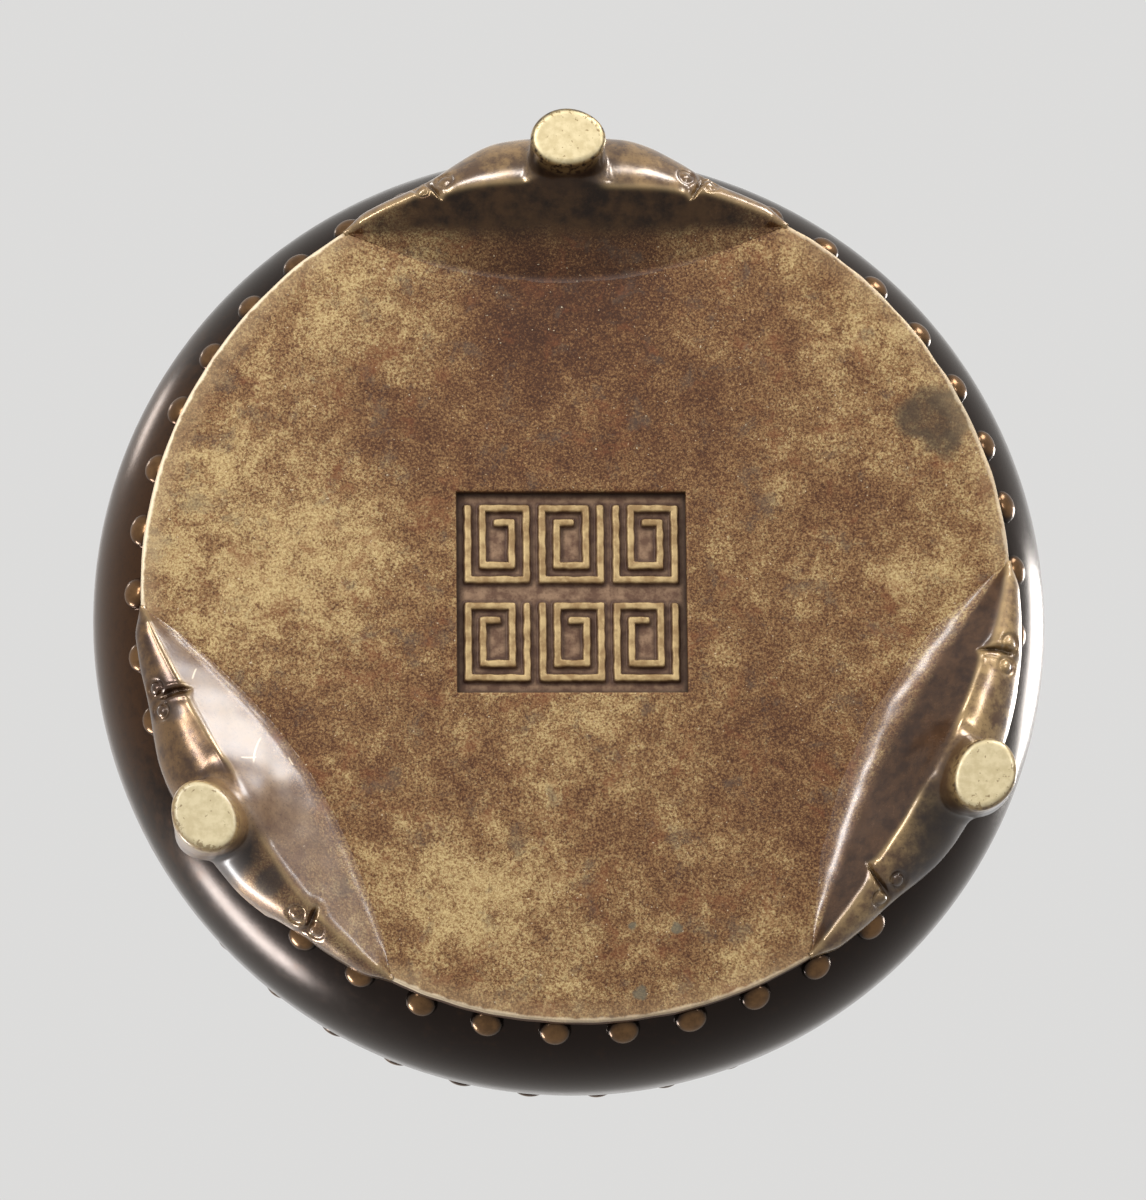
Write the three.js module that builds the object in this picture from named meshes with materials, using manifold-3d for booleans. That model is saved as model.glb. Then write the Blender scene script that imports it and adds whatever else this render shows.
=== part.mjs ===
// A drum-shaped tripod incense burner in patinated bronze, in millimetres, +Z up, standing on its feet.
// The origin is on the floor, on the vessel's axis.
// The bowl is a bulging wall with a hoop of bosses let into each end, closed below by a flat base plate
// that holds a tablet, and capped by a mouth ring. Three cloud-shaped feet are seated under its edge.
import * as THREE from "three";
import { mergeVertices } from "three/addons/utils/BufferGeometryUtils.js";
import Module from "manifold-3d";

const wasm = await Module();
wasm.setup();

// Bowl
const standHeight = 14.8; // from the floor to the underside of the base plate
const bodyHeight = 50.2; // from the underside of the base plate to the top of the mouth ring
const bellyRadius = 80; // the widest outside radius of the wall
const bellyRise = 25.6; // from the underside of the base plate to the belly
const footInset = 9.7; // how far the wall draws in from the belly to where it stands on the base plate
const headInset = 5.3; // the same up to the mouth ring
const wallThickness = 3;
const endLip = 1.2; // how far the base plate and the mouth ring stand out past the wall
const plateThickness = 3.6;
const ringThickness = 3.2;
const ringWidth = 13.9;
const spigotHeight = 1.2; // the step that centres the plate and the ring inside the wall
const edgeRounding = 0.6;
const fitGap = 0.3; // clearance between pieces that are let into each other

// Hoops of bosses
const bossesPerHoop = 42;
const bossRadius = 2.7;
const bossRise = 2.2;
const bossRoot = 0.4; // how far a boss is rooted in its hoop
const hoopThickness = 1.2;
const lowHoopWidth = 5;
const highHoopWidth = 7.4;
const lowRowRise = 2.6; // from the top of the base plate to the middle of the low row
const highRowDrop = 4.5; // from the underside of the mouth ring to the middle of the high row
const lowRowBearing = -1.6; // degrees, where the low row begins
const highRowBearing = 0.8;
const lowRowDrift = 1.9; // degrees, by which the hand-set low row opens and closes up
const lowRowDriftBearing = 167;

// Feet, with their wings measured as angles from the post
const frontFootBearing = -91.2;
const rightFootBearing = 27.3;
const leftFootBearing = 146.6;
const wingAngle = 31.2; // to the tip of a wing
const notchAngle = 17.9; // to the cusp that parts the two lobes of a wing
const notchHalfAngle = 1.2;
const notchDepth = 1.1;
const shoulderAngle = 12.5; // how far the foot's raised middle reaches
const shoulderEndAngle = 15.5;
const footCoverAngle = 14.6; // a boss nearer to a foot's middle than this is left out
const creaseReach = 17.2; // from the plate's edge in to the crease where a foot's back begins
const backEdge = 0.35; // thickness of a foot's back at the crease
const crestReach = 5.2; // from the plate's edge in to the crest of a wing
const tipReach = 0.7;
const crestDrop = 9; // how far the crest hangs under the plate beside the post
const cuspDrop = 6.5;
const outerLobeDrop = 6.9;
const tipDrop = 1.2;
const wingSwell = 2.5; // how far a wing stands out past the plate's edge in its middle
const tipSwell = 0.8;
const shoulderRise = 9.2; // from the underside of the base plate to the top of the foot's middle
const shoulderRounding = 1.6;
const wingRise = 3.3; // the same for the wings
const postRadius = 6.2;
const postReach = 1.1; // how far a post's axis is outside the plate's edge
const soleRadius = 5.1; // the worn flat under a post
const soleRounding = 1.6;
const flareInset = 2.2; // how far inwards the flare behind a post is centred
const flareSoleRadius = 4.2;
const flareRadius = 6.6;

// Tablet under the base
const windowWidth = 37.8;
const windowDepth = 33.6;
const windowX = -0.9;
const windowY = 0.4;
const ledgeDepth = 1.8; // from the underside of the base plate up to the tablet's face
const tabletMargin = 1.9; // how far the tablet is wider than its window, on each side
const tabletThickness = 1.7;
const fretColumns = 3;
const fretRows = 2;
const fretPitchX = 12.2;
const fretPitchY = 16.4;
const fretWidth = 9.6;
const fretDepth = 12;
const fretLine = 1.2; // width of a raised line and of the space beside it
const fretRise = 1.1;

// Smoothness
const turns = 60; // sides of a full circle
const wallSteps = 4; // steps from the belly to either end of the wall
const liningSteps = 3; // the same inside
const bossSides = 8;
const postSides = 24;
const wingSteps = 20;

const bronze = new THREE.MeshStandardMaterial({ color: 0x4a3524, roughness: 0.3, metalness: 0.9 });
const rubbedBronze = new THREE.MeshStandardMaterial({ color: 0x8b6d40, roughness: 0.5, metalness: 0.85 });
const tabletBronze = new THREE.MeshStandardMaterial({ color: 0x6b4d40, roughness: 0.55, metalness: 0.8 });
const footBronze = new THREE.MeshStandardMaterial({ color: 0x7a5c34, roughness: 0.35, metalness: 0.9 });

// Heights above the floor
const plateTop = standHeight + plateThickness;
const bellyHeight = standHeight + bellyRise;
const overallHeight = standHeight + bodyHeight;
const ringBottom = overallHeight - ringThickness;
const lowHoopTop = plateTop + lowHoopWidth;
const highHoopBottom = ringBottom - highHoopWidth;
const lowRowHeight = plateTop + lowRowRise;
const highRowHeight = ringBottom - highRowDrop;

// Radii
const wallFootRadius = bellyRadius - footInset;
const wallHeadRadius = bellyRadius - headInset;
const plateRadius = wallFootRadius + endLip;
const ringRadius = wallHeadRadius + endLip;
const mouthRadius = ringRadius - ringWidth;
const postCentre = plateRadius + postReach;

const footBearings = { front: frontFootBearing, right: rightFootBearing, left: leftFootBearing };

const radians = THREE.MathUtils.degToRad;

// Turns a closed geometry into a solid that can be joined and cut.
function solid(geometry) {
  const bare = geometry.clone();
  bare.deleteAttribute("normal");
  bare.deleteAttribute("uv");
  const merged = mergeVertices(bare, 1e-4);
  return new wasm.Manifold(
    new wasm.Mesh({
      numProp: 3,
      vertProperties: new Float32Array(merged.attributes.position.array),
      triVerts: new Uint32Array(merged.index.array),
    }),
  );
}

// Turns a solid back into a geometry.
function geometryOf(body) {
  const { numVert, vertProperties, numProp, triVerts } = body.getMesh();
  const position = new Float32Array(numVert * 3);
  for (let i = 0; i < numVert; i++) {
    position.set(vertProperties.subarray(i * numProp, i * numProp + 3), i * 3);
  }
  const geometry = new THREE.BufferGeometry();
  geometry.setAttribute("position", new THREE.BufferAttribute(position, 3));
  geometry.setIndex(new THREE.BufferAttribute(new Uint32Array(triVerts), 1));
  geometry.computeVertexNormals();
  return geometry;
}

// Spins an outline of [radius, height] points about the vertical axis, with the metal on the outline's left.
function turned(outline, sides = turns) {
  const points = outline.map(([radius, height]) => new THREE.Vector2(radius, height));
  if (outline[0][0] > 0) {
    points.push(points[0]);
  }
  return new THREE.LatheGeometry(points, sides).rotateX(Math.PI / 2);
}

// A box given by its size and the middle of its underside.
function block(width, depth, height, x, y, z) {
  return solid(new THREE.BoxGeometry(width, depth, height).translate(x, y, z + height / 2));
}

// The wall's side is two arcs that meet upright at the belly, each given by its rise and its inset.
function arcRadius(rise, inset) {
  return (inset * inset + rise * rise) / (2 * inset);
}
const lowerArc = arcRadius(bellyHeight - plateTop, footInset);
const upperArc = arcRadius(ringBottom - bellyHeight, headInset);

// The wall's radius at a height, moved in by an inset measured square to the surface.
function wallRadius(height, inset = 0) {
  const arc = height < bellyHeight ? lowerArc : upperArc;
  const rise = height - bellyHeight;
  return bellyRadius - arc + Math.sqrt((arc - inset) ** 2 - rise * rise);
}

// The direction that the wall faces at a height, as an angle above the horizontal.
function wallFacing(height) {
  const arc = height < bellyHeight ? lowerArc : upperArc;
  return Math.asin((height - bellyHeight) / arc);
}

// Points along the wall's side from one height to another.
function wallSide(from, to, steps, inset = 0) {
  return Array.from({ length: steps + 1 }, (_, i) => {
    const height = from + ((to - from) * i) / steps;
    return [wallRadius(height, inset), height];
  });
}

// The bulging wall, rebated at both ends for the hoops.
function makeWall() {
  const rebate = hoopThickness + fitGap;
  return solid(
    turned([
      [wallRadius(plateTop, wallThickness), plateTop],
      ...wallSide(plateTop, lowHoopTop, 1, rebate),
      ...wallSide(lowHoopTop, bellyHeight, wallSteps),
      ...wallSide(bellyHeight, highHoopBottom, wallSteps).slice(1),
      ...wallSide(highHoopBottom, ringBottom, 1, rebate),
      ...wallSide(ringBottom, bellyHeight, liningSteps, wallThickness),
      ...wallSide(bellyHeight, plateTop, liningSteps, wallThickness).slice(1, -1),
    ]),
  );
}

// One boss, a low dome that stands square to the wall at a height and a bearing.
function makeBoss(height, bearing) {
  const ball = (bossRadius * bossRadius + bossRise * bossRise) / (2 * bossRise);
  const shoulder = bossRise * 0.6;
  const shoulderRadius = Math.sqrt(ball * ball - (shoulder + ball - bossRise) ** 2);
  const outline = [
    [0, -bossRoot],
    [bossRadius, -bossRoot],
    [bossRadius, 0],
    [shoulderRadius, shoulder],
    [0, bossRise],
  ];
  const geometry = turned(outline, bossSides);
  geometry.rotateY(Math.PI / 2 - wallFacing(height));
  geometry.translate(wallRadius(height), 0, height);
  geometry.rotateZ(radians(bearing));
  return solid(geometry);
}

// The bearing of a boss in the low row, which was set out by eye and drifts from even spacing.
function lowBossBearing(index) {
  const even = (index * 360) / bossesPerHoop;
  return even + lowRowBearing + lowRowDrift * Math.cos(radians(even - lowRowDriftBearing));
}

function highBossBearing(index) {
  return (index * 360) / bossesPerHoop + highRowBearing;
}

// Whether a bearing lies behind the raised middle of a foot.
function behindFoot(bearing) {
  return Object.values(footBearings).some((foot) => {
    const away = Math.abs(THREE.MathUtils.euclideanModulo(bearing - foot + 180, 360) - 180);
    return away < footCoverAngle;
  });
}

// A hoop flush with the wall that carries one row of bosses.
function makeHoop(from, to, row, bearings) {
  const hoop = turned([...wallSide(to, from, 1, hoopThickness), ...wallSide(from, to, 1)]);
  return bearings.reduce((body, bearing) => body.add(makeBoss(row, bearing)), solid(hoop));
}

function makeLowHoop() {
  const all = Array.from({ length: bossesPerHoop }, (_, i) => lowBossBearing(i));
  const shown = all.filter((bearing) => !behindFoot(bearing));
  return makeHoop(plateTop, lowHoopTop - fitGap, lowRowHeight, shown);
}

function makeHighHoop() {
  const all = Array.from({ length: bossesPerHoop }, (_, i) => highBossBearing(i));
  return makeHoop(highHoopBottom + fitGap, ringBottom, highRowHeight, all);
}

// The flat base with a rounded edge, a spigot inside the wall and a stepped window for the tablet.
function makeBasePlate() {
  const spigotRadius = wallRadius(plateTop, wallThickness) - fitGap;
  const disc = turned([
    [0, standHeight],
    [plateRadius - edgeRounding, standHeight],
    [plateRadius, standHeight + edgeRounding],
    [plateRadius, plateTop - edgeRounding],
    [plateRadius - edgeRounding, plateTop],
    [spigotRadius, plateTop],
    [spigotRadius, plateTop + spigotHeight],
    [0, plateTop + spigotHeight],
  ]);
  const seatWidth = windowWidth + 2 * (tabletMargin + fitGap);
  const seatDepth = windowDepth + 2 * (tabletMargin + fitGap);
  const cut = plateThickness + spigotHeight + ledgeDepth;
  return solid(disc)
    .subtract(block(windowWidth, windowDepth, cut, windowX, windowY, standHeight - ledgeDepth))
    .subtract(block(seatWidth, seatDepth, cut, windowX, windowY, standHeight + ledgeDepth));
}

// The strokes of one fret, a raised line wound inwards from a corner, as [width, depth, x, y].
function fretStrokes(side) {
  const x = fretWidth / 2;
  const y = fretDepth / 2;
  const step = 2 * fretLine;
  const corners = [
    [-x, -y],
    [-x, y],
    [x, y],
    [x, -y],
    [-x + step, -y],
    [-x + step, y - step],
    [x - step, y - step],
    [x - step, -y + step],
    [-x + 2 * step, -y + step],
  ];
  return corners.slice(1).map((end, i) => {
    const start = corners[i];
    const width = Math.abs(end[0] - start[0]) + fretLine;
    const depth = Math.abs(end[1] - start[1]) + fretLine;
    return [width, depth, (side * (start[0] + end[0])) / 2, (start[1] + end[1]) / 2];
  });
}

// The tablet in the window, with rows of raised frets on its underside.
function makeTablet() {
  const face = standHeight + ledgeDepth;
  const width = windowWidth + 2 * tabletMargin;
  const depth = windowDepth + 2 * tabletMargin;
  let tablet = block(width, depth, tabletThickness, windowX, windowY, face);
  for (let column = 0; column < fretColumns; column++) {
    for (let row = 0; row < fretRows; row++) {
      const x = windowX + (column - (fretColumns - 1) / 2) * fretPitchX;
      const y = windowY + (row - (fretRows - 1) / 2) * fretPitchY;
      const side = (column + row) % 2 === 0 ? 1 : -1;
      for (const [w, d, dx, dy] of fretStrokes(side)) {
        tablet = tablet.add(block(w, d, fretRise + tabletThickness / 2, x + dx, y + dy, face - fretRise));
      }
    }
  }
  return tablet;
}

// The flat ring round the open mouth.
function makeMouthRing() {
  const spigotRadius = wallRadius(ringBottom, wallThickness) - fitGap;
  return solid(
    turned([
      [mouthRadius, ringBottom - spigotHeight],
      [spigotRadius, ringBottom - spigotHeight],
      [spigotRadius, ringBottom],
      [ringRadius - edgeRounding, ringBottom],
      [ringRadius, ringBottom + edgeRounding],
      [ringRadius, overallHeight - edgeRounding],
      [ringRadius - edgeRounding, overallHeight],
      [mouthRadius + edgeRounding, overallHeight],
      [mouthRadius, overallHeight - edgeRounding],
    ]),
  );
}

// The space of the plate, the low hoop and the wall, grown by the fit gap, which a foot stays out of.
function makeFootClearance() {
  const side = wallSide(plateTop, bellyHeight, wallSteps).map(([r, z]) => [r + fitGap, z]);
  return solid(
    turned([
      [0, standHeight],
      [plateRadius + fitGap, standHeight],
      [plateRadius + fitGap, plateTop],
      ...side.slice(1),
      [0, bellyHeight],
    ]),
  );
}

// How far the crest hangs under the plate at an angle from the post, over two lobes that meet in a cusp.
function crestDropAt(away) {
  if (away < notchAngle) {
    return cuspDrop + (crestDrop - cuspDrop) * Math.sqrt(1 - (away / notchAngle) ** 4);
  }
  const share = (away - notchAngle) / (wingAngle - notchAngle);
  return tipDrop + (outerLobeDrop - tipDrop) * (1 - share ** 1.5);
}

// The radius of the crease, a parabola across the base plate from one wing's tip to the other's.
function creaseRadius(angle) {
  const tipAlong = plateRadius * Math.cos(radians(wingAngle));
  const middle = plateRadius - creaseReach;
  const share = Math.tan(angle) / Math.tan(radians(wingAngle));
  return Math.min(middle + (tipAlong - middle) * share * share, tipAlong) / Math.cos(angle);
}

// The height of a foot's top edge at an angle from the post.
function footTop(away) {
  const slope = THREE.MathUtils.smoothstep(away, shoulderAngle, shoulderEndAngle);
  return standHeight + shoulderRise + (wingRise - shoulderRise) * slope;
}

// The cross-section of a foot at an angle from the post, in degrees, as [radius, height] points.
function footSection(angle) {
  const away = Math.abs(angle);
  const full = Math.sqrt(1 - (away / wingAngle) ** 3);
  const groove = Math.max(0, 1 - Math.abs(away - notchAngle) / notchHalfAngle) * notchDepth;
  const crest = plateRadius - tipReach - (crestReach - tipReach) * full;
  const crease = Math.min(creaseRadius(radians(angle)), crest - tipReach / 2);
  const drop = crestDropAt(away) - groove * 0.6;
  const lip = plateRadius + fitGap - groove * 0.5;
  const face = plateRadius + fitGap + tipSwell + (wingSwell - tipSwell) * full - groove;
  const top = footTop(away);
  const shoulder = Math.max(face, wallRadius(Math.max(top - shoulderRounding, plateTop)) + 3 * fitGap);
  const back = (share, sink) => [
    crease + (crest - crease) * share,
    standHeight - backEdge - (drop - backEdge) * sink,
  ];
  return [
    [crease, standHeight + fitGap],
    back(0, 0),
    back(0.35, 0.24),
    back(0.7, 0.6),
    back(1, 1),
    [crest + (lip - crest) * 0.5, standHeight - drop * 0.97],
    [crest + (lip - crest) * 0.85, standHeight - drop * 0.8],
    [lip + (face - lip) * 0.55, standHeight - drop * 0.4],
    [face, standHeight + fitGap],
    [shoulder, top - shoulderRounding],
    [wallRadius(Math.max(top, plateTop)) - 2 * fitGap, top],
    [plateRadius - 2 * endLip, top],
  ];
}

// The angles at which a foot's cross-section is taken, with the edges and the bottom of each notch.
function footStations() {
  const angles = Array.from({ length: wingSteps + 1 }, (_, i) => wingAngle * ((2 * i) / wingSteps - 1));
  for (const side of [-1, 1]) {
    for (const offset of [-1, 0, 1]) {
      angles.push(side * notchAngle + offset * notchHalfAngle);
    }
  }
  return angles.sort((a, b) => a - b);
}

// The wings and the back of a foot: its cross-sections joined one to the next, and closed at both tips.
function makeWings() {
  const sections = footStations().map((angle) =>
    footSection(angle).map(([r, z]) => [r * Math.cos(radians(angle)), r * Math.sin(radians(angle)), z]),
  );
  const count = sections[0].length;
  const index = [];
  for (let s = 0; s + 1 < sections.length; s++) {
    for (let k = 0; k < count; k++) {
      const a = s * count + k;
      const b = s * count + ((k + 1) % count);
      index.push(a, a + count, b, b, a + count, b + count);
    }
  }
  const last = (sections.length - 1) * count;
  for (const [a, b, c] of THREE.ShapeUtils.triangulateShape(outlineOf(sections[0]), [])) {
    index.push(a, b, c);
  }
  for (const [a, b, c] of THREE.ShapeUtils.triangulateShape(outlineOf(sections.at(-1)), [])) {
    index.push(last + c, last + b, last + a);
  }
  const geometry = new THREE.BufferGeometry();
  geometry.setAttribute("position", new THREE.Float32BufferAttribute(sections.flat(2), 3));
  geometry.setIndex(index);
  return solid(geometry);
}

// A cross-section laid flat, for closing it with triangles.
function outlineOf(section) {
  return section.map(([x, y, z]) => new THREE.Vector2(Math.hypot(x, y), z));
}

// The round post, with a worn flat sole and a knee that leans into the wall.
function makePost() {
  const outline = [
    [0, 0],
    [soleRadius, 0],
    [postRadius - soleRounding / 4, soleRounding / 2],
    [postRadius, soleRounding],
    [postRadius, standHeight - soleRounding],
    [postRadius * 0.8, standHeight + shoulderRise / 2],
    [0, standHeight + shoulderRise],
  ];
  return solid(turned(outline, postSides).translate(postCentre, 0, 0));
}

// The flare that runs from the inner edge of the sole down the back of the foot.
function makeFlare() {
  const outline = [
    [0, soleRounding / 2],
    [flareSoleRadius, soleRounding / 2],
    [flareRadius, standHeight],
    [0, standHeight],
  ];
  return solid(turned(outline, postSides).translate(postCentre - flareInset, 0, 0));
}

function makeFoot() {
  return makeWings().add(makePost()).add(makeFlare()).subtract(makeFootClearance());
}

function part(name, body, material) {
  const mesh = new THREE.Mesh(geometryOf(body), material);
  mesh.name = name;
  return mesh;
}

const burner = new THREE.Group();
burner.add(part("bowl_wall", makeWall(), bronze));
burner.add(part("base_plate", makeBasePlate(), rubbedBronze));
burner.add(part("base_tablet", makeTablet(), tabletBronze));
burner.add(part("mouth_ring", makeMouthRing(), bronze));
burner.add(part("lower_boss_hoop", makeLowHoop(), bronze));
burner.add(part("upper_boss_hoop", makeHighHoop(), bronze));

const foot = makeFoot();
for (const [place, bearing] of Object.entries(footBearings)) {
  const mesh = part(`${place}_foot`, foot, footBronze);
  mesh.rotation.z = radians(bearing);
  burner.add(mesh);
}

export default burner;
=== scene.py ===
"""A drum-shaped tripod incense burner in patinated bronze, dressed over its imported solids.

The camera looks up at its underside, as in the photograph. Shapes are in millimetres, in the row's frame
(+Z up, origin on the floor), until a mesh is made.
"""

import math

import bpy
import numpy as np
from mathutils import Matrix, Vector


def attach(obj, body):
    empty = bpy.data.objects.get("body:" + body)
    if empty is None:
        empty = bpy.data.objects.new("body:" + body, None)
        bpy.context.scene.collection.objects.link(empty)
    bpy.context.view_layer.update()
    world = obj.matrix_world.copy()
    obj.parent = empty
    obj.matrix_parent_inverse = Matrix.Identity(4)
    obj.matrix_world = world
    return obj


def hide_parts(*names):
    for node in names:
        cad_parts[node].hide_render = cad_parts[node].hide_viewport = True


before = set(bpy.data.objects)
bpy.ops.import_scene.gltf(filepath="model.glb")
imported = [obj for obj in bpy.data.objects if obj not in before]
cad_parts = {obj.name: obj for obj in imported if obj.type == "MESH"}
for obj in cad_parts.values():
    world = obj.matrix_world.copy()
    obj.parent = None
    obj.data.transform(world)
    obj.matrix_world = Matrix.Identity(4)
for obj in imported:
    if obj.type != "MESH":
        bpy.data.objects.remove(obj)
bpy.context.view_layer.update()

# Sizes in millimetres, as in the solids
STAND = 14.8  # floor to the underside of the base plate
OVERALL = 65.0
BELLY_R = 80.0
BELLY_Z = 40.4
FOOT_INSET = 9.7
HEAD_INSET = 5.3
WALL = 3.0
LIP = 1.2
PLATE_TOP = 18.4
RING_BOTTOM = 61.8
LOW_HOOP_TOP = 23.4
HIGH_HOOP_BOTTOM = 54.4
HOOP = 1.2
SPIGOT = 1.2
GAP = 0.3
PLATE_R = BELLY_R - FOOT_INSET + LIP
RING_R = BELLY_R - HEAD_INSET + LIP
MOUTH_R = 62.0

BOSSES = 42
BOSS_R = 2.65
BOSS_RISE = 1.85
BOSS_ROOT = 0.45  # how far a boss reaches into its hoop
BOSS_WAIST = 0.25  # where its soft foot ends and its dome starts
BOSS_SIDES = 40
LOW_ROW_Z = 20.3
LOW_ROW_TILT = 0.35  # the row stands this much higher at the right, and lower at the left
HIGH_ROW_Z = 57.3

WINDOW_W = 37.8
WINDOW_D = 33.6
WINDOW_X = -0.9
WINDOW_Y = 0.4
LEDGE = 1.8
SEAT_MARGIN = 2.2
TABLET_MARGIN = 1.9
TABLET_THICK = 1.7
FRET_PITCH = (12.2, 16.4)
FRET_SIZE = (9.6, 12.0)
FRET_LINE = 1.2
FRET_RISE = 1.1
FRET_CROWN = 0.12

WING_ANGLE = 31.2
NOTCH_ANGLE = 17.9
NOTCH_ARC = 1.22  # millimetres along the rim for each degree at a foot's cut
WING_ARC = 1.24  # and at a wing's tip
SHOULDER_ANGLE = 12.5
SHOULDER_END = 15.5
COVER_ANGLE = 14.6
CREASE_REACH = 17.2
TIP_REACH = 0.4
CREST_DROP = 8.4
TIP_DROP = 1.2
TIP_SWELL = 1.0
SHOULDER_RISE = 6.4
WING_RISE = 3.3
POST_R = 6.2
POST_DEPTH = 5.0
POST_CENTRE = PLATE_R + 1.3
POST_HEIGHT = 12.0  # where a post starts to round off inside the foot
SOLE_EDGE = 1.25  # rounding of a sole's edge
CURL_R = 1.3  # the ring of each curl, and its place beside the cut
CURL_ASIDE = 1.95
PLATE_JOIN = 0.66  # share of the fillet at which the plate dips under a foot's own surface

# Each foot was finished by hand. Reaches are from the plate's edge in to the crest: beside the post, inside the
# cusp and outside it, for the wing of the lesser bearing and then for that of the greater one.
FEET = {
    "front": dict(
        bearing=-91.2, fillet=3.6, bow=1.15, swell=5.2, swell_ends=(21, 22.5),
        reaches=((3.8, 2.3, 1.0), (5.0, 3.1, 2.0)),
    ),
    "right": dict(
        bearing=27.3, fillet=3.0, bow=1.1, swell=2.8, swell_ends=(33, 20),
        reaches=((5.9, 4.8, 3.4), (6.1, 5.4, 4.0)),
    ),
    "left": dict(
        bearing=146.6, fillet=1.4, bow=1.0, swell=2.9, swell_ends=(20, 20),
        reaches=((4.8, 2.6, 2.4), (7.1, 5.1, 5.5)),
    ),
}

TURNS = 720
FOOT_STEP = 0.25
TABLET_STEP = 0.14
PLATE_ROWS = 130
MM = 0.001


def smooth(low, high, value):
    """A step from 0 to 1 with level ends."""
    t = np.clip((value - low) / (high - low), 0, 1)
    return t * t * (3 - 2 * t)


def ridge(value, width):
    """1 at zero, falling away like a bell to either side."""
    return np.exp(-((value / width) ** 2))


def smin(a, b, k):
    """The smaller of two distances, with a fillet of about k where they meet."""
    t = np.maximum(k - np.abs(a - b), 0) / k
    return np.minimum(a, b) - t * t * k * 0.25


def smax(a, b, k):
    return -smin(-a, -b, k)


def unit(rows, least=1e-9):
    return rows / np.maximum(np.linalg.norm(rows, axis=1, keepdims=True), least)


# The wall

LOW_ARC = (FOOT_INSET**2 + (BELLY_Z - PLATE_TOP) ** 2) / (2 * FOOT_INSET)
HIGH_ARC = (HEAD_INSET**2 + (RING_BOTTOM - BELLY_Z) ** 2) / (2 * HEAD_INSET)


def wall_arc(z):
    return np.where(z < BELLY_Z, LOW_ARC, HIGH_ARC)


def wall_radius(z, inset=0.0):
    arc = wall_arc(z)
    return BELLY_R - arc + np.sqrt(np.maximum((arc - inset) ** 2 - (z - BELLY_Z) ** 2, 1))


def wall_side(low, high, steps, inset=0.0):
    z = np.linspace(low, high, steps + 1)
    return np.column_stack([wall_radius(z, inset), z])


# Meshes


NO_TRIANGLES = np.zeros((0, 3), int)


def add_object(name, data):
    item = bpy.data.objects.new(name, data)
    bpy.context.scene.collection.objects.link(item)
    return item


def to_mesh(name, points, quads, triangles=NO_TRIANGLES, normals=None, layers=None):
    """A smooth mesh object from points in millimetres. Layers are values at the points."""
    mesh = bpy.data.meshes.new(name)
    mesh.vertices.add(len(points))
    mesh.vertices.foreach_set("co", (np.asarray(points, float) * MM).astype(np.float32).ravel())
    index = np.concatenate([quads.ravel(), triangles.ravel()]).astype(np.int32)
    mesh.loops.add(len(index))
    mesh.loops.foreach_set("vertex_index", index)
    starts = np.concatenate([np.arange(len(quads)) * 4, quads.size + np.arange(len(triangles)) * 3])
    mesh.polygons.add(len(starts))
    mesh.polygons.foreach_set("loop_start", starts.astype(np.int32))
    mesh.polygons.foreach_set("use_smooth", np.ones(len(starts), bool))
    mesh.update(calc_edges=True)
    mesh.validate()
    for layer, values in (layers or {}).items():
        attribute = mesh.attributes.new(layer, "FLOAT", "POINT")
        attribute.data.foreach_set("value", np.asarray(values, np.float32))
    if normals is not None:
        mesh.normals_split_custom_set_from_vertices(np.asarray(normals, np.float32).tolist())
    return add_object(name, mesh)


def finish_piece(piece, material, node):
    piece.data.materials.append(material)
    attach(piece, "root")
    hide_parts(node)


def round_angles(turns):
    return np.arange(turns) * 2 * math.pi / turns


def loops_to_faces(rows, columns, closed=True):
    """Quads over rows of points that go once round."""
    row = np.arange(rows if closed else rows - 1)[:, None] * columns
    up = (row + columns) % (rows * columns)
    column = np.arange(columns)[None, :]
    after = (column + 1) % columns
    return np.stack([row + column, row + after, up + after, up + column], axis=-1).reshape(-1, 4)


def fan(ring, centre):
    """Triangles from a ring of points to one in its middle."""
    return np.stack([ring, np.roll(ring, -1), np.full(len(ring), centre)], axis=-1)


def spun(outline, turns=TURNS):
    """An outline of [radius, height] turned about the vertical axis."""
    angle = round_angles(turns)
    outline = np.asarray(outline, float)
    x = outline[:, :1] * np.cos(angle)
    y = outline[:, :1] * np.sin(angle)
    z = np.broadcast_to(outline[:, 1:], x.shape)
    return np.stack([x, y, z], axis=-1).reshape(-1, 3)


def arc_points(radius, z, size, start, end, steps):
    """[radius, height] points of a rounded edge, between bearings in degrees up from outwards."""
    angle = np.radians(np.linspace(start, end, steps))
    return np.column_stack([radius + size * np.cos(angle), z + size * np.sin(angle)])


def waves(seed, count, low, high):
    """Random directions, wavelengths and phases for a soft unevenness."""
    random = np.random.default_rng(seed)
    direction = unit(random.normal(size=(count, 3)))
    length = random.uniform(low, high, size=(count, 1))
    return direction * 2 * math.pi / length, random.uniform(0, 2 * math.pi, size=count)


def uneven(x, y, z, field):
    """A value near -1 to 1 that wanders over space."""
    vectors, phases = field
    total = np.zeros(np.shape(x), np.asarray(x).dtype)
    for (a, b, c), phase in zip(vectors, phases):
        total = total + np.sin(a * x + b * y + c * z + phase).astype(total.dtype)
    return total / math.sqrt(len(phases)) / 1.5


BASE_WAVES = waves(3, 7, 14, 40)
FOOT_WAVES = waves(5, 9, 5, 13)
EDGE_WAVES = waves(8, 7, 5, 16)


def base_swell(x, y):
    """How far the base bulges towards the floor."""
    return 0.05 * uneven(x, y, x * 0, BASE_WAVES)


# The feet


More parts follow.
